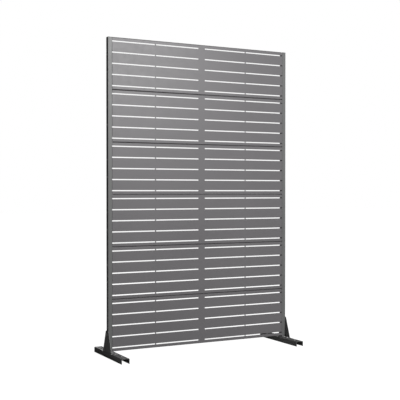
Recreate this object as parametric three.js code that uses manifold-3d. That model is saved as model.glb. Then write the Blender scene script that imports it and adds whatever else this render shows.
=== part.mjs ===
// Free-standing slotted display screen. Millimetres, +Z up.
// The origin is on the floor, midway between the posts and at their mid-depth. The front faces -Y.
import * as THREE from 'three';
import { mergeVertices } from 'three/addons/utils/BufferGeometryUtils.js';
import Module from 'manifold-3d';

const wasm = await Module();
wasm.setup();

// ---- Driving dimensions ----

const SCREEN_WIDTH = 1206; // over the outer faces of the posts
const SCREEN_BASE = 35.5; // underside of the lowest panel above the floor

const POST_WIDTH = 25; // rectangular tube
const POST_DEPTH = 28;
const POST_WALL = 1.5;
const POST_CORNER = 1;

const PANEL_COUNT = 6;
const PANEL_PITCH = 300; // height of one panel with its joint
const PANEL_DEPTH = 24; // folded side flanges, front to back
const PANEL_FIT = 0.3; // clearance between a panel and each post
const SHEET = 1.5;
const JOINT_GAP = 4; // shadow gap between the faces of two panels
const JOINT_FOLD = 2.5; // outside radius of the folds at a joint
const STEP_SETBACK = 9; // the top flange steps up this far behind the face
const STEP_RISE = 3.7; // and reaches the underside of the next panel
const STEP_RELIEF = 7; // the step stops short of the side flanges

const SLOT_ROWS = 5; // in each panel
const SLOT_PITCH = 63.6;
const SLOT_HEIGHT = 6.5;
const SLOT_WRAP = 6; // the outer slots run round the side folds into the flanges
const BRIDGE_X = 305.4; // centre of the narrow bridges, left and right of the middle
const BRIDGE_WIDTH = 6.6;
const BAND_WIDTH = 43; // solid band down the middle

const FOOT_LENGTH = 423;
const FOOT_WIDTH = 48;
const FOOT_HEIGHT = 30;
const FOOT_SHEET = 2;
const FOOT_FOLD = 3;
const FOOT_SCREW_INSET = 58.5; // centre of a foot screw from the end of the foot

const PLATE = 2; // sheet of the brackets
const GUSSET_TOP = 120; // top of the gusset above the underside of the lowest panel
const GUSSET_TOP_HALF = 20;
const GUSSET_BASE_HALF = 65;
const GUSSET_CORNER = 6;
const BRACKET_FOLD = 3;
const FLANGE_HALF = 80; // the bracket's flange runs this far to the front and to the back
const FLANGE_WIDTH = 38; // from the outer face of the post inwards
const FLANGE_INSET = 3;
const FLANGE_BOLTS = [-66, -32, 32, 66]; // along the foot
const FLANGE_BOLT_IN = 20; // from the outer face of the post
const SPIGOT_FIT = 0.4; // clearance all round between the bore of a post and what goes inside it
const SPIGOT_WALL = 2; // square-cut tube that stands inside the post
const SPIGOT_HEIGHT = 130;

const BOLT_OFFSET = PANEL_PITCH / 6; // side bolts above and below the middle of a panel
const SHANK_RADIUS = 3;
const HOLE_RADIUS = 3.6;
const HEAD_RADIUS = 5.5;
const HEAD_HEIGHT = 3.3;
const SOCKET_ACROSS = 4; // across the flats
const SOCKET_DEPTH = 1.8;
const NUT_ACROSS = 10;
const NUT_HEIGHT = 5;
const SIDE_BOLT_LENGTH = 35;
const GUSSET_BOLT_LENGTH = 38;
const FOOT_BOLT_LENGTH = 16;
const SEAT_GAP = 0.1; // under the heads of the bolts

const CAP_THICKNESS = 1;
const CAP_PLUG_WALL = 1.5;
const CAP_PLUG_DEPTH = 14;

// ---- Places that follow from them ----

const HALF_WIDTH = SCREEN_WIDTH / 2;
const FRONT = -POST_DEPTH / 2; // the plane of the screen's face
const SCREEN_TOP = SCREEN_BASE + PANEL_COUNT * PANEL_PITCH;
const PANEL_HALF_WIDTH = HALF_WIDTH - POST_WIDTH - PANEL_FIT;
const PANEL_HEIGHT = PANEL_PITCH - JOINT_GAP;
const FLANGE_TOP = FOOT_HEIGHT + PLATE;
const POST_BASE = FLANGE_TOP + PANEL_FIT;
const POST_TOP = SCREEN_TOP - CAP_THICKNESS;
const INSERT_WIDTH = POST_WIDTH - 2 * (POST_WALL + SPIGOT_FIT); // of the spigots and the plugs of the caps
const INSERT_DEPTH = POST_DEPTH - 2 * (POST_WALL + SPIGOT_FIT);
const GUSSET_BOLT_Z = SCREEN_BASE + PANEL_PITCH / 2 - BOLT_OFFSET;
const PAST = 1; // how far a cutting solid runs past what it cuts
const FOLD_SEGMENTS = 2; // in a quarter turn of a fold or corner

const SIDES = { left: -1, right: 1 };

// ---- Materials ----

const paint = (color) => new THREE.MeshStandardMaterial({ color, roughness: 0.5, metalness: 0.25 });
const MATERIALS = {
  panel: paint(0x6b696c),
  frame: paint(0x5c5b5e),
  bolt: new THREE.MeshStandardMaterial({ color: 0xb9babc, roughness: 0.35, metalness: 0.9 }),
  cap: new THREE.MeshStandardMaterial({ color: 0x2b2b2d, roughness: 0.6, metalness: 0 }),
};

// ---- Solids ----

function solid(geometry) {
  const bare = geometry.index ? geometry.toNonIndexed() : geometry.clone();
  bare.deleteAttribute('normal');
  bare.deleteAttribute('uv');
  const merged = mergeVertices(bare, 1e-4);
  return new wasm.Manifold(new wasm.Mesh({
    numProp: 3,
    vertProperties: Float32Array.from(merged.attributes.position.array),
    triVerts: Uint32Array.from(merged.index.array),
  }));
}

function geometryOf(manifold) {
  const mesh = manifold.getMesh();
  const geometry = new THREE.BufferGeometry();
  geometry.setAttribute('position', new THREE.BufferAttribute(mesh.vertProperties, 3));
  geometry.setIndex(new THREE.BufferAttribute(mesh.triVerts, 1));
  geometry.computeVertexNormals();
  return geometry;
}

const add = (first, ...rest) => rest.reduce((sum, next) => sum.add(next), first);
const cut = (first, ...rest) => rest.reduce((left, next) => left.subtract(next), first);

function box([x0, x1], [y0, y1], [z0, z1]) {
  const geometry = new THREE.BoxGeometry(x1 - x0, y1 - y0, z1 - z0);
  geometry.translate((x0 + x1) / 2, (y0 + y1) / 2, (z0 + z1) / 2);
  return solid(geometry);
}

// Directions that a shape's own x, its own y and the extrusion take.
const ALONG_X = [[0, 1, 0], [0, 0, 1], [1, 0, 0]];
const ALONG_Y = [[-1, 0, 0], [0, 0, 1], [0, 1, 0]];
const ALONG_Z = [[1, 0, 0], [0, 1, 0], [0, 0, 1]];

function prism(shape, from, to, directions) {
  const options = { depth: to - from, bevelEnabled: false, curveSegments: FOLD_SEGMENTS };
  const geometry = new THREE.ExtrudeGeometry(shape, options);
  geometry.translate(0, 0, from);
  const [u, v, w] = directions.map((d) => new THREE.Vector3(...d));
  geometry.applyMatrix4(new THREE.Matrix4().makeBasis(u, v, w));
  return solid(geometry);
}

function cylinder(radius, from, to, directions, sides = 8) {
  const circle = new THREE.Shape();
  for (let i = 0; i < sides; i += 1) {
    const angle = ((i + 0.5) / sides) * 2 * Math.PI;
    const point = [radius * Math.cos(angle), radius * Math.sin(angle)];
    if (i === 0) circle.moveTo(...point);
    else circle.lineTo(...point);
  }
  return prism(circle, from, to, directions);
}

const hexagon = (across, from, to, directions) => cylinder(across / Math.sqrt(3), from, to, directions, 6);

function roundedRectangle(width, depth, corner) {
  const x = width / 2 - corner;
  const y = depth / 2 - corner;
  const shape = new THREE.Shape();
  shape.moveTo(width / 2, -y);
  shape.absarc(x, y, corner, 0, Math.PI / 2);
  shape.absarc(-x, y, corner, Math.PI / 2, Math.PI);
  shape.absarc(-x, -y, corner, Math.PI, Math.PI * 1.5);
  shape.absarc(x, -y, corner, Math.PI * 1.5, Math.PI * 2);
  return shape;
}

function rectangularTube(width, depth, wall, z0, z1) {
  const outside = prism(roundedRectangle(width, depth, POST_CORNER), z0, z1, ALONG_Z);
  const x = width / 2 - wall;
  const y = depth / 2 - wall;
  return cut(outside, box([-x, x], [-y, y], [z0 - PAST, z1 + PAST]));
}

// ---- Panels ----

// A block with its face at y = front and its top and bottom front edges rounded by the folds.
function frontBlock(front, back, halfWidth, halfHeight, radius) {
  const section = new THREE.Shape();
  section.moveTo(back, -halfHeight);
  section.lineTo(back, halfHeight);
  section.lineTo(front + radius, halfHeight);
  section.absarc(front + radius, halfHeight - radius, radius, Math.PI / 2, Math.PI);
  section.lineTo(front, -halfHeight + radius);
  section.absarc(front + radius, -halfHeight + radius, radius, Math.PI, Math.PI * 1.5);
  return prism(section, -halfWidth, halfWidth, ALONG_X);
}

const SLOT_SPANS = [
  [-PANEL_HALF_WIDTH - PAST, -BRIDGE_X - BRIDGE_WIDTH / 2],
  [-BRIDGE_X + BRIDGE_WIDTH / 2, -BAND_WIDTH / 2],
  [BAND_WIDTH / 2, BRIDGE_X - BRIDGE_WIDTH / 2],
  [BRIDGE_X + BRIDGE_WIDTH / 2, PANEL_HALF_WIDTH + PAST],
];

function slotCutters() {
  const cutters = [];
  for (let row = 0; row < SLOT_ROWS; row += 1) {
    const middle = (row - (SLOT_ROWS - 1) / 2) * SLOT_PITCH;
    const height = [middle - SLOT_HEIGHT / 2, middle + SLOT_HEIGHT / 2];
    for (const span of SLOT_SPANS) cutters.push(box(span, [-PAST, SHEET + PAST], height));
    for (const side of Object.values(SIDES)) {
      const flange = [side * (PANEL_HALF_WIDTH - SHEET - PAST), side * (PANEL_HALF_WIDTH + PAST)];
      cutters.push(box(flange.sort((a, b) => a - b), [-PAST, SLOT_WRAP], height));
    }
  }
  return cutters;
}

// The panel's own frame has its face at y = 0 and its middle at x = z = 0.
function panelSolid() {
  const halfHeight = PANEL_HEIGHT / 2;
  const innerHalfHeight = halfHeight - SHEET;
  const stepHalfWidth = PANEL_HALF_WIDTH - STEP_RELIEF;
  const shell = add(
    frontBlock(0, PANEL_DEPTH, PANEL_HALF_WIDTH, halfHeight, JOINT_FOLD),
    box([-stepHalfWidth, stepHalfWidth], [STEP_SETBACK, PANEL_DEPTH], [0, halfHeight + STEP_RISE]),
  );
  const hollow = add(
    frontBlock(SHEET, PANEL_DEPTH + PAST, PANEL_HALF_WIDTH - SHEET, innerHalfHeight, JOINT_FOLD - SHEET),
    box(
      [-stepHalfWidth - PAST, stepHalfWidth + PAST],
      [STEP_SETBACK + SHEET, PANEL_DEPTH + PAST],
      [0, innerHalfHeight + STEP_RISE],
    ),
  );
  const nuts = [];
  const holes = [];
  for (const side of Object.values(SIDES)) {
    const inner = side * (PANEL_HALF_WIDTH - SHEET / 2);
    const nutFace = side * (PANEL_HALF_WIDTH - SHEET - NUT_HEIGHT);
    const outer = side * (PANEL_HALF_WIDTH + PAST);
    for (const z of [-BOLT_OFFSET, BOLT_OFFSET]) {
      const [n0, n1] = [inner, nutFace].sort((a, b) => a - b);
      const [h0, h1] = [outer, nutFace - side * PAST].sort((a, b) => a - b);
      nuts.push(hexagon(NUT_ACROSS, n0, n1, ALONG_X).translate([0, POST_DEPTH / 2, z]));
      holes.push(cylinder(HOLE_RADIUS, h0, h1, ALONG_X).translate([0, POST_DEPTH / 2, z]));
    }
  }
  return cut(add(cut(shell, hollow), ...nuts), ...slotCutters(), ...holes);
}

// ---- Posts and caps ----

function sideBoltHeights() {
  const heights = [];
  for (let panel = 0; panel < PANEL_COUNT; panel += 1) {
    const middle = SCREEN_BASE + (panel + 0.5) * PANEL_PITCH;
    heights.push(middle - BOLT_OFFSET, middle + BOLT_OFFSET);
  }
  return heights;
}

const crossHole = (z) => cylinder(HOLE_RADIUS, -POST_WIDTH, POST_WIDTH, ALONG_X).translate([0, 0, z]);

function postSolid() {
  const tube = rectangularTube(POST_WIDTH, POST_DEPTH, POST_WALL, POST_BASE, POST_TOP);
  return cut(tube, ...sideBoltHeights().map(crossHole));
}

function capSolid() {
  const plate = prism(roundedRectangle(POST_WIDTH, POST_DEPTH, POST_CORNER), SEAT_GAP, CAP_THICKNESS, ALONG_Z);
  return add(plate, rectangularTube(INSERT_WIDTH, INSERT_DEPTH, CAP_PLUG_WALL, -CAP_PLUG_DEPTH, CAP_THICKNESS / 2));
}

// ---- Feet and brackets ----
// Both are drawn for the right side, with x = 0 at the outer face of the post and -x inwards.

function weldNut(x, y, top) {
  const nut = hexagon(NUT_ACROSS, top - NUT_HEIGHT, top + FOOT_SHEET / 2, ALONG_Z);
  return nut.translate([x, y, 0]);
}

const uprightHole = (x, y, z0, z1) => cylinder(HOLE_RADIUS, z0 - PAST, z1 + PAST, ALONG_Z).translate([x, y, 0]);

const FOOT_SCREW_Y = FOOT_LENGTH / 2 - FOOT_SCREW_INSET;
const FOOT_HOLES = [
  ...FLANGE_BOLTS.map((y) => [-FLANGE_BOLT_IN, y]),
  [-FOOT_WIDTH / 2, -FOOT_SCREW_Y],
  [-FOOT_WIDTH / 2, FOOT_SCREW_Y],
];

// Section of the inverted channel: x from the outer wall inwards, open at the floor.
function channelSection(inset, top, radius, base) {
  const far = FOOT_WIDTH - inset;
  const shape = new THREE.Shape();
  shape.moveTo(inset, base);
  shape.lineTo(far, base);
  shape.lineTo(far, top - radius);
  shape.absarc(far - radius, top - radius, radius, 0, Math.PI / 2);
  shape.lineTo(inset + radius, top);
  shape.absarc(inset + radius, top - radius, radius, Math.PI / 2, Math.PI);
  return shape;
}

function footSolid() {
  const end = FOOT_LENGTH / 2;
  const web = FOOT_HEIGHT - FOOT_SHEET;
  const outside = prism(channelSection(0, FOOT_HEIGHT, FOOT_FOLD, 0), -end, end, ALONG_Y);
  const inside = prism(
    channelSection(FOOT_SHEET, web, FOOT_FOLD - FOOT_SHEET, -PAST), -end - PAST, end + PAST, ALONG_Y,
  );
  const nuts = FOOT_HOLES.map(([x, y]) => weldNut(x, y, web));
  const holes = FOOT_HOLES.map(([x, y]) => uprightHole(x, y, web - NUT_HEIGHT, FOOT_HEIGHT));
  return cut(add(cut(outside, inside), ...nuts), ...holes);
}

function gussetOutline() {
  const top = SCREEN_BASE + GUSSET_TOP;
  const slope = (GUSSET_BASE_HALF - GUSSET_TOP_HALF) / (top - FOOT_HEIGHT);
  const shape = new THREE.Shape();
  shape.moveTo(-GUSSET_BASE_HALF, FOOT_HEIGHT);
  shape.lineTo(GUSSET_BASE_HALF, FOOT_HEIGHT);
  shape.lineTo(GUSSET_TOP_HALF + slope * GUSSET_CORNER, top - GUSSET_CORNER);
  shape.quadraticCurveTo(GUSSET_TOP_HALF, top, GUSSET_TOP_HALF - GUSSET_CORNER, top);
  shape.lineTo(-GUSSET_TOP_HALF + GUSSET_CORNER, top);
  shape.quadraticCurveTo(-GUSSET_TOP_HALF, top, -GUSSET_TOP_HALF - slope * GUSSET_CORNER, top - GUSSET_CORNER);
  return shape;
}

// The space outside the fold between the gusset and its flange.
function foldRelief() {
  const shape = new THREE.Shape();
  shape.moveTo(PLATE - BRACKET_FOLD, FOOT_HEIGHT);
  shape.absarc(PLATE - BRACKET_FOLD, FOOT_HEIGHT + BRACKET_FOLD, BRACKET_FOLD, -Math.PI / 2, 0);
  shape.lineTo(PLATE + PAST, FOOT_HEIGHT + BRACKET_FOLD);
  shape.lineTo(PLATE + PAST, FOOT_HEIGHT - PAST);
  shape.lineTo(PLATE - BRACKET_FOLD, FOOT_HEIGHT - PAST);
  const towardsFront = [[1, 0, 0], [0, 0, 1], [0, -1, 0]];
  return prism(shape, -FLANGE_HALF - PAST, FLANGE_HALF + PAST, towardsFront);
}

function bracketSolid() {
  const gusset = prism(gussetOutline(), 0, PLATE, ALONG_X);
  const level = [FOOT_HEIGHT, FLANGE_TOP];
  const flange = add(
    box([-FLANGE_WIDTH, -FLANGE_INSET], [-FLANGE_HALF, FLANGE_HALF], level),
    box([-FLANGE_INSET - PAST, PLATE], [-GUSSET_BASE_HALF, GUSSET_BASE_HALF], level),
  );
  const span = [FOOT_HEIGHT + PLATE / 2, FLANGE_TOP + SPIGOT_HEIGHT];
  const spigot = rectangularTube(INSERT_WIDTH, INSERT_DEPTH, SPIGOT_WALL, ...span).translate([-POST_WIDTH / 2, 0, 0]);
  const boltHole = cylinder(HOLE_RADIUS, -POST_WIDTH, POST_WIDTH, ALONG_X).translate([0, 0, GUSSET_BOLT_Z]);
  const flangeHoles = FLANGE_BOLTS.map((y) => uprightHole(-FLANGE_BOLT_IN, y, ...level));
  return cut(add(gusset, flange, spigot), foldRelief(), boltHole, ...flangeHoles);
}

// ---- Bolts ----

// A button-head bolt along +Z with the underside of its head at z = 0.
function boltSolid(length) {
  const tip = 0.6;
  const profile = [
    [0, -length],
    [SHANK_RADIUS - tip, -length],
    [SHANK_RADIUS, -length + tip],
    [SHANK_RADIUS, 0],
    [HEAD_RADIUS, 0],
    [HEAD_RADIUS * 0.93, HEAD_HEIGHT * 0.45],
    [HEAD_RADIUS * 0.6, HEAD_HEIGHT],
    [0, HEAD_HEIGHT],
  ].map(([radius, height]) => new THREE.Vector2(radius, height));
  const body = new THREE.LatheGeometry(profile, 8);
  body.rotateX(Math.PI / 2);
  return cut(solid(body), hexagon(SOCKET_ACROSS, HEAD_HEIGHT - SOCKET_DEPTH, HEAD_HEIGHT + PAST, ALONG_Z));
}

// ---- Assembly ----

const screen = new THREE.Group();

function place(name, geometry, material, parent = screen) {
  const mesh = new THREE.Mesh(geometry, material);
  mesh.name = name;
  parent.add(mesh);
  return mesh;
}

const panelGeometry = geometryOf(panelSolid());
for (let panel = 0; panel < PANEL_COUNT; panel += 1) {
  const middle = SCREEN_BASE + panel * PANEL_PITCH + PANEL_HEIGHT / 2 + JOINT_GAP / 2;
  place(`panel_${panel + 1}`, panelGeometry, MATERIALS.panel).position.set(0, FRONT, middle);
}

const postGeometry = geometryOf(postSolid());
const capGeometry = geometryOf(capSolid());
const foot = footSolid();
const bracket = bracketSolid();
const sideBolt = geometryOf(boltSolid(SIDE_BOLT_LENGTH));
const gussetBolt = geometryOf(boltSolid(GUSSET_BOLT_LENGTH));
const footBolt = geometryOf(boltSolid(FOOT_BOLT_LENGTH));

function addFootBolt(name, x, y, seat) {
  place(name, footBolt, MATERIALS.bolt).position.set(x, y, seat + SEAT_GAP);
}

for (const [name, side] of Object.entries(SIDES)) {
  const outer = side * HALF_WIDTH;
  const middle = side * (HALF_WIDTH - POST_WIDTH / 2);
  const mirrored = (manifold) => (side > 0 ? manifold : manifold.mirror([1, 0, 0]));

  place(`post_${name}`, postGeometry, MATERIALS.frame).position.set(middle, 0, 0);
  place(`post_cap_${name}`, capGeometry, MATERIALS.cap).position.set(middle, 0, POST_TOP);
  place(`foot_${name}`, geometryOf(mirrored(foot)), MATERIALS.frame).position.set(outer, 0, 0);
  place(`foot_bracket_${name}`, geometryOf(mirrored(bracket)), MATERIALS.frame).position.set(outer, 0, 0);

  sideBoltHeights().forEach((z, index) => {
    const onGusset = z === GUSSET_BOLT_Z;
    const seat = outer + side * (SEAT_GAP + (onGusset ? PLATE : 0));
    const bolt = place(`side_bolt_${name}_${index + 1}`, onGusset ? gussetBolt : sideBolt, MATERIALS.bolt);
    bolt.position.set(seat, 0, z);
    bolt.rotation.y = (side * Math.PI) / 2;
  });

  FLANGE_BOLTS.forEach((y, index) => {
    addFootBolt(`bracket_bolt_${name}_${index + 1}`, side * (HALF_WIDTH - FLANGE_BOLT_IN), y, FLANGE_TOP);
  });
  const screwX = side * (HALF_WIDTH - FOOT_WIDTH / 2);
  addFootBolt(`foot_screw_${name}_front`, screwX, -FOOT_SCREW_Y, FOOT_HEIGHT);
  addFootBolt(`foot_screw_${name}_rear`, screwX, FOOT_SCREW_Y, FOOT_HEIGHT);
}

export default screen;
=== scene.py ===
"""Free-standing slotted display screen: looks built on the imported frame.

Metres, +Z up, the front faces -Y.
"""

import math

import bmesh
import bpy
from mathutils import Matrix, Vector


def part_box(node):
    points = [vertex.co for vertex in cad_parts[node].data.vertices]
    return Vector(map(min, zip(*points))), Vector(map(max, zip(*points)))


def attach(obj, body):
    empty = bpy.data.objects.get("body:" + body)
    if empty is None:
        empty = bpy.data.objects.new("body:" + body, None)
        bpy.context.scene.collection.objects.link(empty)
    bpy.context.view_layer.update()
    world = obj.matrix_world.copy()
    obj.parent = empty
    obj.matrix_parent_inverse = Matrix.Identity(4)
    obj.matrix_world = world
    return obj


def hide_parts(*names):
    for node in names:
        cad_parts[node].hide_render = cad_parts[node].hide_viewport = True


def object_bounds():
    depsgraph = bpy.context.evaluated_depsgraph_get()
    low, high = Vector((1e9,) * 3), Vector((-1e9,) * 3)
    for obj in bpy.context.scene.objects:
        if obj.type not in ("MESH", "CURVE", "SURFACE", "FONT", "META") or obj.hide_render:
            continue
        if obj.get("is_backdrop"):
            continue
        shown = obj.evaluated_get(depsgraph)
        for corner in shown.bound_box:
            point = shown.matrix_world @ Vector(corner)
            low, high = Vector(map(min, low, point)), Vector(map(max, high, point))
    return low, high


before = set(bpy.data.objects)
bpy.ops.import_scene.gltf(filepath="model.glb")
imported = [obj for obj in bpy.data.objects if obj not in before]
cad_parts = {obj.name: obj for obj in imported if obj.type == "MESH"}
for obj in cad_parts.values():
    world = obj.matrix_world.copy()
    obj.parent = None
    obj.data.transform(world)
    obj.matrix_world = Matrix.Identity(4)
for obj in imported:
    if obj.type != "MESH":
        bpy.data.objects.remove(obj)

cad_low, cad_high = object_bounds()

MM = 0.001
SIDES = {"left": -1, "right": 1}
PANELS = [f"panel_{number}" for number in range(1, 7)]

# Sheets, folds and slots that the boxes of the CAD nodes do not give.
SHEET = 1.5 * MM
FACE_FOLD = 2.5 * MM
SIDE_FOLD = 1.6 * MM
FOLD_STEPS = 6
JOGGLE_START = 7 * MM
JOGGLE_RADIUS = 1.6 * MM
SLOT_ROWS = 5
SLOT_PITCH = 63.6 * MM
SLOT_HEIGHT = 6.5 * MM
SLOT_CORNER = 0.8 * MM
SLOT_WRAP = 6 * MM
BRIDGE_X = 305.4 * MM
BRIDGE_WIDTH = 6.6 * MM
BAND_WIDTH = 43 * MM
JOINT_GAP = 4 * MM
TOP_STEP = 3.7 * MM
NUT_HOLE = 3.6 * MM
BOLT_OFFSET = 50 * MM  # side bolts above and below the middle of a panel
BOLT_DEPTH = 14 * MM  # side bolts behind the face
CORNER_STEPS = 4

POST_WALL = 1.5 * MM
POST_CORNER = 1.2 * MM
FOOT_SHEET = 2 * MM
FOOT_FOLD = 3 * MM
PLATE = 2 * MM
BRACKET_FOLD = 3 * MM
GUSSET_TOP = 120 * MM  # above the underside of the lowest panel's module
GUSSET_TOP_HALF = 20 * MM
GUSSET_BASE_HALF = 65 * MM
GUSSET_CORNER = 7 * MM
INSERT_HALF = Vector((10.6 * MM, 12.1 * MM, 0))  # the spigots and the plugs of the caps
SPIGOT_WALL = 2 * MM
HEAD_RADIUS = 5.5 * MM
HEAD_HEIGHT = 3.3 * MM
HEAD_RIM = 0.45 * MM
CROWN_RADIUS = 2.9 * MM
CROWN_LEAN = math.radians(66)
SIDE_TWIST = 37  # degrees that a bolt's socket turns from one to the next
BRACKET_TWIST = 23
SHANK_RADIUS = 3 * MM
THREAD_PITCH = 1 * MM
THREAD_DEPTH = 0.3 * MM
THREAD_LENGTH = 12 * MM
SOCKET_ACROSS = 4 * MM
SOCKET_DEPTH = 1.8 * MM
NUT_ACROSS = 10 * MM
NUT_HEIGHT = 5 * MM
EDGE_BREAK = 0.22 * MM
PAST = 1 * MM

FLOOR_GLOW = 1.0
FLOOR_BOUNCE = 0.39
WORLD_LIGHT = 0.035

CAMERA_TURN = math.radians(27.788)
CAMERA_DIP = math.radians(0.623)
CAMERA_DISTANCE = 5.0927
CAMERA_SIDE = -0.0035
CAMERA_HEIGHT = 0.9572
CAMERA_LENS = 75.80


# ---- Mesh helpers ----

def object_of(bm, name="work"):
    mesh = bpy.data.meshes.new(name)
    bm.to_mesh(mesh)
    bm.free()
    made = bpy.data.objects.new(name, mesh)
    bpy.context.scene.collection.objects.link(made)
    return made


def applied(obj):
    """The object with its modifiers made part of its mesh."""
    bpy.context.view_layer.update()
    graph = bpy.context.evaluated_depsgraph_get()
    mesh = bpy.data.meshes.new_from_object(obj.evaluated_get(graph))
    old = obj.data
    obj.modifiers.clear()
    obj.data = mesh
    bpy.data.meshes.remove(old)
    return obj


def combined(body, tool, operation):
    modifier = body.modifiers.new("combine", "BOOLEAN")
    modifier.operation = operation
    modifier.solver = "EXACT"
    modifier.object = tool
    applied(body)
    bpy.data.objects.remove(tool)
    return body


def joined(parts):
    """Several work objects as one."""
    bm = bmesh.new()
    for part in parts:
        part.data.transform(part.matrix_world)
        bm.from_mesh(part.data)
        bpy.data.objects.remove(part)
    return object_of(bm)


def rounded(corners, steps=CORNER_STEPS):
    """An outline whose corners (x, y, radius) have become arcs."""
    outline = []
    for index, (x, y, radius) in enumerate(corners):
        corner = Vector((x, y))
        if radius <= 0:
            outline.append((x, y))
            continue
        before = (Vector(corners[index - 1][:2]) - corner).normalized()
        after = (Vector(corners[(index + 1) % len(corners)][:2]) - corner).normalized()
        half = before.angle(after) / 2
        centre = corner + (before + after).normalized() * (radius / math.sin(half))
        start = corner + before * (radius / math.tan(half)) - centre
        end = corner + after * (radius / math.tan(half)) - centre
        for step in range(steps + 1):
            point = centre + start.normalized().slerp(end.normalized(), step / steps).normalized() * radius
            outline.append((point.x, point.y))
    return outline


def rectangle(x0, x1, y0, y1, radius=0.0, steps=CORNER_STEPS):
    corners = [(x0, y0, radius), (x1, y0, radius), (x1, y1, radius), (x0, y1, radius)]
    return rounded(corners, steps)


def circle(x, y, radius, count=24):
    angles = [2 * math.pi * index / count for index in range(count)]
    return [(x + radius * math.cos(a), y + radius * math.sin(a)) for a in angles]


PLACES = {
    "x": lambda a, b, t: (t, a, b),
    "y": lambda a, b, t: (a, t, b),
    "z": lambda a, b, t: (a, b, t),
}


def lofted(rings, holes=None):
    """A closed solid through rings of points. With holes, a tube whose bore runs through those rings."""
    bm = bmesh.new()
    outer = [[bm.verts.new(point) for point in ring] for ring in rings]
    inner = [[bm.verts.new(point) for point in ring] for ring in holes or []]
    count = len(rings[0])
    for wall in (outer, inner):
        for lower, upper in zip(wall, wall[1:]):
            for i in range(count):
                j = (i + 1) % count
                bm.faces.new((lower[i], lower[j], upper[j], upper[i]))
    for end in (0, -1):
        if not inner:
            bm.faces.new(outer[end])
            continue
        for i in range(count):
            j = (i + 1) % count
            bm.faces.new((outer[end][i], outer[end][j], inner[end][j], inner[end][i]))
    bmesh.ops.recalc_face_normals(bm, faces=bm.faces)
    return object_of(bm)


def extruded(outline, span, axis, bore=None):
    place = PLACES[axis]
    rings = [[place(a, b, t) for a, b in outline] for t in span]
    holes = [[place(a, b, t) for a, b in bore] for t in span] if bore else None
    return lofted(rings, holes)


def bevelled(obj, width=EDGE_BREAK, segments=2, angle=40):
    modifier = obj.modifiers.new("edge", "BEVEL")
    modifier.width = width
    modifier.segments = segments
    modifier.limit_method = "ANGLE"
    modifier.angle_limit = math.radians(angle)
    modifier.use_clamp_overlap = True
    return applied(obj)


def shaded(obj, angle=32):
    """Smooth folds, crisp edges, and flat faces that stay flat."""
    obj.data.shade_smooth()
    obj.data.set_sharp_from_angle(angle=math.radians(angle))
    modifier = obj.modifiers.new("normals", "WEIGHTED_NORMAL")
    modifier.weight = 80
    modifier.keep_sharp = True
    return applied(obj)


def stand_for(source, node, material, matrix=None):
    """A piece from a copy of the source's mesh, which stands for a CAD node."""
    mesh = source.data.copy()
    if matrix is not None:
        mesh.transform(matrix)
    mesh.materials.clear()
    mesh.materials.append(material)
    piece = bpy.data.objects.new(f"{node}_shape", mesh)
    mesh.name = piece.name
    bpy.context.scene.collection.objects.link(piece)
    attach(piece, "root")
    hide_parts(node)
    return piece


# ---- Materials ----

def node_material(name):
    material = bpy.data.materials.new(name)
    material.use_nodes = True
    tree = material.node_tree
    tree.nodes.clear()
    output = tree.nodes.new("ShaderNodeOutputMaterial")
    shader = tree.nodes.new("ShaderNodeBsdfPrincipled")
    tree.links.new(shader.outputs["BSDF"], output.inputs["Surface"])
    return material, tree, shader


def noise(tree, place, scale, detail=3.0, roughness=0.5):
    texture = tree.nodes.new("ShaderNodeTexNoise")
    texture.inputs["Scale"].default_value = scale
    texture.inputs["Detail"].default_value = detail
    texture.inputs["Roughness"].default_value = roughness
    tree.links.new(place, texture.inputs["Vector"])
    return texture.outputs["Fac"]


def spread(tree, value, low, high, start=0.3, end=0.7):
    """Noise between start and end becomes a value between low and high."""
    ranged = tree.nodes.new("ShaderNodeMapRange")
    ranged.inputs["From Min"].default_value = start
    ranged.inputs["From Max"].default_value = end
    ranged.inputs["To Min"].default_value = low
    ranged.inputs["To Max"].default_value = high
    tree.links.new(value, ranged.inputs["Value"])
    return ranged.outputs["Result"]


def maths(tree, operation, first, second):
    step = tree.nodes.new("ShaderNodeMath")
    step.operation = operation
    for socket, value in zip(step.inputs, (first, second)):
        if isinstance(value, (int, float)):
            socket.default_value = value
        else:
            tree.links.new(value, socket)
    return step.outputs["Value"]


def blended(tree, factor, first, second):
    mix = tree.nodes.new("ShaderNodeMix")
    mix.data_type = "RGBA"
    for name, value in (("Factor", factor), ("A", first), ("B", second)):
        socket = next(s for s in mix.inputs if s.name == name and s.enabled)
        if hasattr(value, "is_linked"):
            tree.links.new(value, socket)
        elif name == "Factor":
            socket.default_value = value
        else:
            socket.default_value = (*value, 1.0)
    return next(s for s in mix.outputs if s.enabled)


def edge_mask(tree, radius):
    """1 on edges and corners and 0 on faces, from how far a rounded normal leans from the true one."""
    bevel = tree.nodes.new("ShaderNodeBevel")
    bevel.samples = 4
    bevel.inputs["Radius"].default_value = radius
    geometry = tree.nodes.new("ShaderNodeNewGeometry")
    dot = tree.nodes.new("ShaderNodeVectorMath")
    dot.operation = "DOT_PRODUCT"
    tree.links.new(bevel.outputs["Normal"], dot.inputs[0])
    tree.links.new(geometry.outputs["Normal"], dot.inputs[1])
    return spread(tree, dot.outputs["Value"], 1.0, 0.0, 0.75, 0.98)


def bump(tree, shader, layers):
    """Layers of (height, strength, distance) on the shader's normal."""
    normal = None
    for height, strength, distance in layers:
        step = tree.nodes.new("ShaderNodeBump")
        step.inputs["Strength"].default_value = strength
        step.inputs["Distance"].default_value = distance
        tree.links.new(height, step.inputs["Height"])
        if normal is not None:
            tree.links.new(normal, step.inputs["Normal"])
        normal = step.outputs["Normal"]
    tree.links.new(normal, shader.inputs["Normal"])


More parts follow.
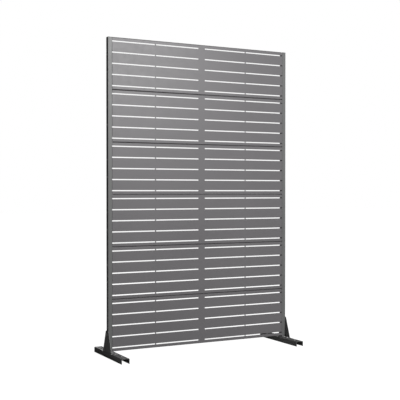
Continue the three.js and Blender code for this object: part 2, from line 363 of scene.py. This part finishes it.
def powder_coat(name, colour, thin_colour, roughness):
    """Satin powder coat: orange peel, cloudy colour, thinner and paler along edges."""
    material, tree, shader = node_material(name)
    place = tree.nodes.new("ShaderNodeTexCoord").outputs["Object"]
    clouds = noise(tree, place, 2.2, 4.0)
    mottle = noise(tree, place, 38.0, 3.0)
    grain = noise(tree, place, 900.0, 2.0)
    peel = noise(tree, place, 420.0, 2.0, 0.35)
    darker = tuple(c * 0.96 for c in colour)
    paler = tuple(c * 1.03 for c in colour)
    cloudy = blended(tree, spread(tree, clouds, 0.0, 1.0, 0.35, 0.65), darker, paler)
    mottled = blended(tree, spread(tree, mottle, 0.0, 0.18), cloudy, paler)
    grained = blended(tree, spread(tree, grain, 0.0, 0.22), mottled, darker)
    worn = maths(tree, "MULTIPLY", edge_mask(tree, 0.8 * MM), spread(tree, mottle, 0.1, 0.7))
    tree.links.new(blended(tree, worn, grained, thin_colour), shader.inputs["Base Color"])
    sheen = maths(tree, "ADD", spread(tree, mottle, -0.02, 0.025), spread(tree, clouds, -0.008, 0.008))
    tree.links.new(maths(tree, "ADD", sheen, roughness), shader.inputs["Roughness"])
    shader.inputs["Metallic"].default_value = 0.0
    shader.inputs["IOR"].default_value = 1.5
    bump(tree, shader, [(peel, 0.25, 0.05 * MM), (grain, 0.2, 0.03 * MM)])
    return material


def zinc(name):
    """Zinc-plated steel: fine turning marks, a cloudy passivation and dull, handled edges."""
    material, tree, shader = node_material(name)
    place = tree.nodes.new("ShaderNodeTexCoord").outputs["Object"]
    clouds = noise(tree, place, 160.0, 3.0)
    spangle = noise(tree, place, 1400.0, 2.0)
    tinted = blended(tree, spread(tree, clouds, 0.0, 1.0), (0.62, 0.63, 0.66), (0.78, 0.76, 0.72))
    worn = maths(tree, "MULTIPLY", edge_mask(tree, 0.3 * MM), 0.5)
    tree.links.new(blended(tree, worn, tinted, (0.88, 0.88, 0.88)), shader.inputs["Base Color"])
    tree.links.new(spread(tree, spangle, 0.42, 0.56), shader.inputs["Roughness"])
    shader.inputs["Metallic"].default_value = 0.45
    bump(tree, shader, [(spangle, 0.2, 0.02 * MM)])
    return material


def moulded_plastic(name, colour):
    """Black moulded plastic with a fine spark-eroded grain and rubbed edges."""
    material, tree, shader = node_material(name)
    place = tree.nodes.new("ShaderNodeTexCoord").outputs["Object"]
    grain = noise(tree, place, 2200.0, 2.0)
    clouds = noise(tree, place, 90.0, 3.0)
    rubbed = maths(tree, "MULTIPLY", edge_mask(tree, 0.4 * MM), spread(tree, clouds, 0.1, 0.6))
    paler = tuple(c * 1.35 for c in colour)
    base = blended(tree, spread(tree, clouds, 0.0, 0.5), colour, paler)
    tree.links.new(blended(tree, rubbed, base, (0.09, 0.09, 0.092)), shader.inputs["Base Color"])
    tree.links.new(spread(tree, grain, 0.48, 0.64), shader.inputs["Roughness"])
    bump(tree, shader, [(grain, 0.35, 0.03 * MM)])
    return material


PANEL_PAINT = powder_coat("panel_paint", (0.212, 0.204, 0.213), (0.30, 0.295, 0.30), 0.39)
FRAME_PAINT = powder_coat("frame_paint", (0.205, 0.208, 0.206), (0.30, 0.30, 0.30), 0.39)
BOLT_STEEL = zinc("bolt_steel")
CAP_PLASTIC = moulded_plastic("cap_plastic", (0.018, 0.018, 0.019))


# ---- Panels: one sheet, folded back on four sides ----

def walked(moves):
    """Stations (run, along, depth, outward along, outward depth) on the outer surface of a folded
    sheet, from the middle of its face outwards. A move is ("flat", length, stops) or
    ("bend", radius, angle)."""
    stations = []
    spot = Vector((0.0, 0.0))
    heading = 0.0
    run = 0.0
    for kind, size, detail in moves:
        start, began, facing = spot.copy(), run, heading
        if kind == "flat":
            ahead = Vector((math.cos(heading), math.sin(heading)))
            for stop in [*sorted(detail), began + size]:
                run = stop
                spot = start + ahead * (stop - began)
                stations.append((run, spot.x, spot.y, math.sin(heading), -math.cos(heading)))
            continue
        side = math.copysign(1, detail)
        centre = start - Vector((math.sin(facing), -math.cos(facing))) * size * side
        for step in range(1, FOLD_STEPS + 1):
            heading = facing + detail * step / FOLD_STEPS
            outward = Vector((math.sin(heading), -math.cos(heading)))
            spot = centre + outward * size * side
            run = began + size * abs(detail) * step / FOLD_STEPS
            stations.append((run, spot.x, spot.y, outward.x, outward.y))
    return stations


def mirrored(stations):
    return [(-run, -along, depth, -out_along, out_depth)
            for run, along, depth, out_along, out_depth in reversed(stations)]


def end_stops(first, last, radius):
    """Where the rounded ends of an opening need stations."""
    leans = [radius * (1 - math.cos(math.pi / 2 * step / CORNER_STEPS)) for step in range(CORNER_STEPS + 1)]
    return [first + lean for lean in leans] + [last - lean for lean in leans]


def panel_sheet(half_width, half_height, depth):
    flat_width = half_width - SIDE_FOLD
    flat_height = half_height - FACE_FOLD
    side_start = flat_width + SIDE_FOLD * math.pi / 2
    bridge_in, bridge_out = BRIDGE_X - BRIDGE_WIDTH / 2, BRIDGE_X + BRIDGE_WIDTH / 2
    wrap_end = side_start + SLOT_WRAP - SIDE_FOLD
    hole = side_start + BOLT_DEPTH - SIDE_FOLD
    rows = [(row - (SLOT_ROWS - 1) / 2) * SLOT_PITCH for row in range(SLOT_ROWS)]

    # Openings in the unfolded sheet: (first run, last run, middle height, half height, corner radius).
    spans = [(BAND_WIDTH / 2, bridge_in), (bridge_out, wrap_end)]
    openings = [(a, b, row, SLOT_HEIGHT / 2, SLOT_CORNER) for row in rows for a, b in spans]
    bolt_hole = (hole - NUT_HOLE, hole + NUT_HOLE)
    openings += [(*bolt_hole, z, NUT_HOLE, NUT_HOLE) for z in (-BOLT_OFFSET, BOLT_OFFSET)]

    inner_stops = end_stops(*spans[0], SLOT_CORNER)
    outer_stops = end_stops(*spans[1], SLOT_CORNER)
    hole_stops = end_stops(*bolt_hole, NUT_HOLE)
    face_stops = [s for s in inner_stops + outer_stops if s < flat_width]
    side_stops = [s for s in outer_stops + hole_stops if s > side_start]
    across = walked([
        ("flat", flat_width, set(face_stops)),
        ("bend", SIDE_FOLD, math.pi / 2),
        ("flat", depth - SIDE_FOLD, {round(s, 7) for s in side_stops}),
    ])
    heights = sorted({round(z + s * half, 7) for _, _, z, half, _ in openings for s in (-1, 1)})
    lean = math.acos(1 - TOP_STEP / (2 * JOGGLE_RADIUS + SHEET))
    joggle_run = (2 * JOGGLE_RADIUS + SHEET) * math.sin(lean)
    upper = walked([
        ("flat", flat_height, [z for z in heights if z > 0]),
        ("bend", FACE_FOLD, math.pi / 2),
        ("flat", JOGGLE_START - FACE_FOLD, []),
        ("bend", JOGGLE_RADIUS, -lean),
        ("bend", JOGGLE_RADIUS + SHEET, lean),
        ("flat", depth - JOGGLE_START - joggle_run, []),
    ])
    lower = walked([
        ("flat", flat_height, [z for z in heights if z > 0]),
        ("bend", FACE_FOLD, math.pi / 2),
        ("flat", depth - FACE_FOLD, []),
    ])
    columns = mirrored(across) + across
    levels = mirrored(lower) + upper

    def is_open(run, height):
        if abs(run) > flat_width and abs(height) > flat_height:
            return True
        return any(a < abs(run) < b and abs(height - z) < half for a, b, z, half, _ in openings)

    def drawn_in(run, height):
        """How far a corner radius moves a point on the long edge of an opening."""
        for first, last, z, half, radius in openings:
            off_edge = abs(abs(height - z) - half) > 1e-6
            if off_edge or not first - 1e-6 <= abs(run) <= last + 1e-6:
                continue
            into = max(first + radius - abs(run), abs(run) - (last - radius), 0.0)
            shift = radius - math.sqrt(max(radius**2 - into**2, 0.0))
            return -math.copysign(shift, height - z)
        return 0.0

    bm = bmesh.new()
    vertices = {}

    def vertex(i, j, layer):
        if (i, j, layer) not in vertices:
            run, x, side_depth, out_x, out_side = columns[i]
            height, z, face_depth, out_z, out_face = levels[j]
            on_side = abs(run) > flat_width + 1e-9
            outward = Vector((out_x, out_side, 0)) if on_side else Vector((0, out_face, out_z))
            point = Vector((x, side_depth + face_depth, z + drawn_in(run, height)))
            vertices[i, j, layer] = bm.verts.new(point - outward * SHEET * layer)
        return vertices[i, j, layer]

    kept = {
        (i, j)
        for i in range(len(columns) - 1)
        for j in range(len(levels) - 1)
        if not is_open((columns[i][0] + columns[i + 1][0]) / 2, (levels[j][0] + levels[j + 1][0]) / 2)
    }
    for i, j in kept:
        ring = [(i, j), (i + 1, j), (i + 1, j + 1), (i, j + 1)]
        bm.faces.new([vertex(*corner, 0) for corner in ring])
        bm.faces.new([vertex(*corner, 1) for corner in reversed(ring)])
        beyond = [(i, j - 1), (i + 1, j), (i, j + 1), (i - 1, j)]
        for index, neighbour in enumerate(beyond):
            if neighbour in kept:
                continue
            a, b = ring[index], ring[(index + 1) % 4]
            bm.faces.new([vertex(*a, 0), vertex(*a, 1), vertex(*b, 1), vertex(*b, 0)])
    bmesh.ops.remove_doubles(bm, verts=bm.verts, dist=1e-6)
    bmesh.ops.dissolve_degenerate(bm, edges=bm.edges, dist=1e-7)
    bmesh.ops.recalc_face_normals(bm, faces=bm.faces)
    return object_of(bm)


def hex_nut():
    """A weld nut along +X from x = 0: chamfered corners and a round bore."""
    across = NUT_ACROSS / math.sqrt(3)
    rings = []
    for x, scale in ((0, 1.0), (NUT_HEIGHT - 0.5 * MM, 1.0), (NUT_HEIGHT, 0.93)):
        rings.append([(x, across * scale * math.cos(a), across * scale * math.sin(a))
                      for a in (math.pi / 3 * (k + 0.5) for k in range(6))])
    nut = lofted(rings)
    bore = extruded(circle(0, 0, SHANK_RADIUS + 0.08 * MM), (-PAST, NUT_HEIGHT + PAST), "x")
    return combined(nut, bore, "DIFFERENCE")


def copied(source, matrix):
    mesh = source.data.copy()
    mesh.transform(matrix)
    made = bpy.data.objects.new("work", mesh)
    bpy.context.scene.collection.objects.link(made)
    return made


def dropped(*objects):
    for obj in objects:
        bpy.data.objects.remove(obj)


lowest_panel, highest_of_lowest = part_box("panel_1")
panel_size = highest_of_lowest - lowest_panel
panel_half_width = panel_size.x / 2
panel_half_height = (panel_size.z - TOP_STEP) / 2
sheet = shaded(bevelled(panel_sheet(panel_half_width, panel_half_height, panel_size.y)))
nut = shaded(bevelled(hex_nut(), 0.15 * MM, 1))
nuts = []
for side in SIDES.values():
    turn = Matrix.Rotation(math.pi if side > 0 else 0, 4, "Z")
    seat = side * (panel_half_width - SHEET)
    for z in (-BOLT_OFFSET, BOLT_OFFSET):
        nuts.append(copied(nut, Matrix.Translation((seat, BOLT_DEPTH, z)) @ turn))
panel = joined([sheet, *nuts])
for name in PANELS:
    low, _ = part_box(name)
    middle = Vector((0, low.y, low.z + panel_half_height))
    stand_for(panel, name, PANEL_PAINT, Matrix.Translation(middle))
dropped(panel, nut)


# ---- Posts and caps ----

def rectangular_tube(low, high, corner, wall, z_span):
    outside = rectangle(low.x, high.x, low.y, high.y, corner)
    bore_corner = max(corner - wall, 0.3 * MM)
    bore = rectangle(low.x + wall, high.x - wall, low.y + wall, high.y - wall, bore_corner)
    return extruded(outside, z_span, "z", bore)


for name, side in SIDES.items():
    low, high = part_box(f"post_{name}")
    post = rectangular_tube(low, high, POST_CORNER, POST_WALL, (low.z, high.z))
    middle_y = (low.y + high.y) / 2
    drills = []
    for number in range(1, 13):
        bolt_low, bolt_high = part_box(f"side_bolt_{name}_{number}")
        z = (bolt_low.z + bolt_high.z) / 2
        drills.append(extruded(circle(middle_y, z, NUT_HOLE), (low.x - PAST, high.x + PAST), "x"))
    post = shaded(combined(post, joined(drills), "DIFFERENCE"))
    stand_for(post, f"post_{name}", FRAME_PAINT)
    dropped(post)

    low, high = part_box(f"post_cap_{name}")
    top = high.z
    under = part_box(f"post_{name}")[1].z
    # (height, inset of the outline in millimetres) up the softly crowned edge
    levels = [(under + 0.1 * MM, 0.05), (under + 0.2 * MM, 0.0), (top - 0.45 * MM, 0.0)]
    levels += [(top - 0.2 * MM, 0.12), (top - 0.07 * MM, 0.38), (top - 0.02 * MM, 0.9), (top, 2.6)]
    rings = []
    for z, inset in levels:
        x0, x1 = low.x + inset * MM, high.x - inset * MM
        y0, y1 = low.y + inset * MM, high.y - inset * MM
        rings.append([(x, y, z) for x, y in rectangle(x0, x1, y0, y1, POST_CORNER)])
    plate = lofted(rings)
    centre = (low + high) / 2
    plug_span = (low.z, under + 0.3 * MM)
    plug = rectangular_tube(centre - INSERT_HALF, centre + INSERT_HALF, 1 * MM, 1.5 * MM, plug_span)
    cap = shaded(joined([plate, plug]), 50)
    stand_for(cap, f"post_cap_{name}", CAP_PLASTIC)
    dropped(cap)


# ---- Feet and brackets ----

def foot_shape(low, high, seats):
    """An inverted channel with a drilled web and weld nuts under it."""
    def section(inset, top, radius, base):
        return rounded([(low.x + inset, base, 0), (high.x - inset, base, 0),
                        (high.x - inset, top, radius), (low.x + inset, top, radius)], FOLD_STEPS)

    shell = extruded(section(0, high.z, FOOT_FOLD, low.z), (low.y, high.y), "y")
    web = high.z - FOOT_SHEET
    hollow = extruded(section(FOOT_SHEET, web, FOOT_FOLD - FOOT_SHEET, low.z - PAST),
                      (low.y - PAST, high.y + PAST), "y")
    shell = combined(shell, hollow, "DIFFERENCE")
    drills = [extruded(circle(x, y, NUT_HOLE), (web - PAST, high.z + PAST), "z") for x, y in seats]
    shell = shaded(bevelled(combined(shell, joined(drills), "DIFFERENCE"), 0.3 * MM))
    under = Matrix.Rotation(math.pi / 2, 4, "Y")
    weld_nut = shaded(bevelled(hex_nut(), 0.15 * MM, 1))
    nuts = [copied(weld_nut, Matrix.Translation((x, y, web)) @ under) for x, y in seats]
    dropped(weld_nut)
    return joined([shell, *nuts])


def bracket_shape(side, post_low, post_high, foot_top, top, low, high, seats):
    """A gusset folded into a flange that lies on the foot, with the spigot that goes up inside the post."""
    outer = post_high.x if side > 0 else post_low.x
    inwards = -side
    middle_y = (post_low.y + post_high.y) / 2

    def across(distance):
        return outer + inwards * distance

    fold = BRACKET_FOLD
    corners = [(across(-PLATE), top, 0), (across(-PLATE), foot_top, fold),
               (across(10 * MM), foot_top, 0), (across(10 * MM), foot_top + PLATE, 0),
               (across(0), foot_top + PLATE, fold - PLATE), (across(0), top, 0)]
    angle_span = (middle_y - GUSSET_BASE_HALF, middle_y + GUSSET_BASE_HALF)
    angle = extruded(rounded(corners, FOLD_STEPS), angle_span, "y")
    front, rear = middle_y - GUSSET_BASE_HALF, middle_y + GUSSET_BASE_HALF
    slope_foot = foot_top + 0.6 * MM
    silhouette = rounded([
        (front, foot_top - PAST, 0),
        (rear, foot_top - PAST, 0),
        (rear, slope_foot, 0),
        (middle_y + GUSSET_TOP_HALF, top, GUSSET_CORNER),
        (middle_y - GUSSET_TOP_HALF, top, GUSSET_CORNER),
        (front, slope_foot, 0),
    ], FOLD_STEPS)
    span = sorted((across(-PLATE - PAST), across(11 * MM)))
    angle = combined(angle, extruded(silhouette, span, "x"), "INTERSECT")
    inner_edge = low.x if side > 0 else high.x
    x0, x1 = sorted((inner_edge, across(BRACKET_FOLD)))
    flange = extruded(rectangle(x0, x1, low.y, high.y, 2 * MM), (foot_top, foot_top + PLATE), "z")
    body = combined(angle, flange, "UNION")
    drills = [extruded(circle(x, y, NUT_HOLE), (foot_top - PAST, foot_top + PLATE + PAST), "z")
              for x, y in seats]
    gusset_bolt_low, gusset_bolt_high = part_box(f"side_bolt_{'right' if side > 0 else 'left'}_1")
    z = (gusset_bolt_low.z + gusset_bolt_high.z) / 2
    span = sorted((across(-PLATE - PAST), across(PAST)))
    drills.append(extruded(circle(middle_y, z, NUT_HOLE), span, "x"))
    body = shaded(bevelled(combined(body, joined(drills), "DIFFERENCE"), 0.3 * MM))
    centre = (post_low + post_high) / 2
    spigot_span = (foot_top + PLATE * 0.8, high.z)
    spigot = rectangular_tube(centre - INSERT_HALF, centre + INSERT_HALF, 1.5 * MM, SPIGOT_WALL, spigot_span)
    return joined([body, shaded(spigot)])


def seat_of(node):
    low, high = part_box(node)
    return (low.x + high.x) / 2, (low.y + high.y) / 2


for name, side in SIDES.items():
    foot_low, foot_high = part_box(f"foot_{name}")
    bracket_seats = [seat_of(f"bracket_bolt_{name}_{number}") for number in range(1, 5)]
    foot_seats = bracket_seats + [seat_of(f"foot_screw_{name}_{end}") for end in ("front", "rear")]
    foot = foot_shape(foot_low, foot_high, foot_seats)
    stand_for(foot, f"foot_{name}", FRAME_PAINT)
    low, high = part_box(f"foot_bracket_{name}")
    gusset_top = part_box("panel_1")[0].z - JOINT_GAP / 2 + GUSSET_TOP
    post_low, post_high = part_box(f"post_{name}")
    bracket = bracket_shape(side, post_low, post_high, foot_high.z, gusset_top, low, high, bracket_seats)
    stand_for(bracket, f"foot_bracket_{name}", FRAME_PAINT)
    dropped(foot, bracket)


# ---- Bolts ----

def bolt_shape(length):
    """A button-head bolt along +Z, its head's underside at z = 0, with a hex socket and a threaded tip."""
    thread_start = max(-length + THREAD_LENGTH, -length * 0.75)
    profile = [(SHANK_RADIUS * 0.55, -length), (SHANK_RADIUS - THREAD_DEPTH, -length + 0.5 * MM)]
    z = -length + 0.8 * MM
    while z < thread_start:
        profile += [(SHANK_RADIUS, z), (SHANK_RADIUS - THREAD_DEPTH, z + THREAD_PITCH / 2)]
        z += THREAD_PITCH
    profile += [(SHANK_RADIUS, z), (SHANK_RADIUS, -0.3 * MM), (SHANK_RADIUS + 0.2 * MM, 0.0)]
    profile += [(HEAD_RADIUS - 0.15 * MM, 0.0), (HEAD_RADIUS, 0.12 * MM), (HEAD_RADIUS, HEAD_RIM)]
    for step in range(1, 8):
        lean = CROWN_LEAN * step / 7
        rise = math.sin(lean) / math.sin(CROWN_LEAN)
        inset = (1 - math.cos(lean)) / (1 - math.cos(CROWN_LEAN))
        radius = HEAD_RADIUS - (HEAD_RADIUS - CROWN_RADIUS) * inset
        profile.append((radius, HEAD_RIM + (HEAD_HEIGHT - HEAD_RIM) * rise))
    rings = []
    for radius, height in profile:
        rings.append([(x, y, height) for x, y in circle(0, 0, radius, 28)])
    body = lofted(rings)
    socket = extruded([(SOCKET_ACROSS / math.sqrt(3) * math.cos(math.pi / 3 * k),
                        SOCKET_ACROSS / math.sqrt(3) * math.sin(math.pi / 3 * k)) for k in range(6)],
                      (HEAD_HEIGHT - SOCKET_DEPTH, HEAD_HEIGHT + PAST), "z")
    return shaded(combined(body, socket, "DIFFERENCE"), 40)


BOLTS = {}


def add_bolt(node, direction, twist_degrees):
    low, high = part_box(node)
    size = high - low
    total = max(size)
    length = round(total - HEAD_HEIGHT, 5)
    if length not in BOLTS:
        BOLTS[length] = bolt_shape(length)
    centre = (low + high) / 2
    underside = centre + direction * (total / 2 - HEAD_HEIGHT)
    turn = direction.to_track_quat("Z", "Y").to_matrix().to_4x4()
    twist = Matrix.Rotation(math.radians(twist_degrees), 4, "Z")
    stand_for(BOLTS[length], node, BOLT_STEEL, Matrix.Translation(underside) @ turn @ twist)


for name, side in SIDES.items():
    for number in range(1, 13):
        add_bolt(f"side_bolt_{name}_{number}", Vector((side, 0, 0)), SIDE_TWIST * number)
    for number in range(1, 5):
        add_bolt(f"bracket_bolt_{name}_{number}", Vector((0, 0, 1)), BRACKET_TWIST * number)
    for end, twist in (("front", 11), ("rear", 48)):
        add_bolt(f"foot_screw_{name}_{end}", Vector((0, 0, 1)), twist)
dropped(*BOLTS.values())


# ---- Stage, light and camera ----

def build_floor():
    bm = bmesh.new()
    half = 30.0
    corners = [(-half, -half, 0), (half, -half, 0), (half, half, 0), (-half, half, 0)]
    bm.faces.new([bm.verts.new(corner) for corner in corners])
    floor = object_of(bm, "floor")
    floor.location.z = -0.2 * MM
    material, tree, shader = node_material("floor")
    place = tree.nodes.new("ShaderNodeTexCoord").outputs["Object"]
    cloud = spread(tree, noise(tree, place, 0.8), 0.0, 1.0)
    tone = blended(tree, cloud, (0.30, 0.30, 0.30), (0.32, 0.32, 0.32))
    light_path = tree.nodes.new("ShaderNodeLightPath")
    seen = light_path.outputs["Is Camera Ray"]
    tree.links.new(blended(tree, seen, (FLOOR_BOUNCE,) * 3, tone), shader.inputs["Base Color"])
    shader.inputs["Roughness"].default_value = 0.9
    shader.inputs["Specular IOR Level"].default_value = 0.0
    glow = maths(tree, "MULTIPLY", seen, FLOOR_GLOW)
    shader.inputs["Emission Color"].default_value = (1, 1, 1, 1)
    tree.links.new(glow, shader.inputs["Emission Strength"])
    floor.data.materials.append(material)
    floor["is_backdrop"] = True


def build_world():
    world = bpy.data.worlds.new("studio")
    bpy.context.scene.world = world
    world.use_nodes = True
    tree = world.node_tree
    background = tree.nodes["Background"]
    light_path = tree.nodes.new("ShaderNodeLightPath")
    strength = maths(tree, "MULTIPLY", light_path.outputs["Is Camera Ray"], 1.0 - WORLD_LIGHT)
    tree.links.new(maths(tree, "ADD", strength, WORLD_LIGHT), background.inputs["Strength"])
    background.inputs["Color"].default_value = (1, 1, 1, 1)


def softbox(name, place, target, width, height, power):
    data = bpy.data.lights.new(name, "AREA")
    data.shape = "RECTANGLE"
    data.size = width
    data.size_y = height
    data.energy = power
    light = bpy.data.objects.new(name, data)
    bpy.context.scene.collection.objects.link(light)
    light.location = place
    light.rotation_euler = (Vector(target) - Vector(place)).to_track_quat("-Z", "Y").to_euler()
    light.visible_camera = False
    return light


build_floor()
build_world()
softbox("key", (1.3, -5.04, 3.0), (0, 0, 1.0), 1.7, 2.4, 210)
softbox("back", (0.5, 4.8, 2.9), (0, 0, 0.9), 1.6, 1.6, 55)

middle = (cad_low + cad_high) / 2
camera_data = bpy.data.cameras.new("camera")
camera = bpy.data.objects.new("camera", camera_data)
bpy.context.scene.collection.objects.link(camera)
bpy.context.scene.camera = camera
camera_data.sensor_width = 36.0
camera_data.lens = CAMERA_LENS
camera_data.clip_end = 200.0
ahead = Vector((math.sin(CAMERA_TURN), math.cos(CAMERA_TURN), 0))
right = Vector((ahead.y, -ahead.x, 0))
above_middle = Vector((middle.x, middle.y, CAMERA_HEIGHT))
camera.location = above_middle - ahead * CAMERA_DISTANCE + right * CAMERA_SIDE
camera.rotation_euler = (math.pi / 2 - CAMERA_DIP, 0, -CAMERA_TURN)
bpy.context.scene.view_settings.view_transform = "Standard"

low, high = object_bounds()
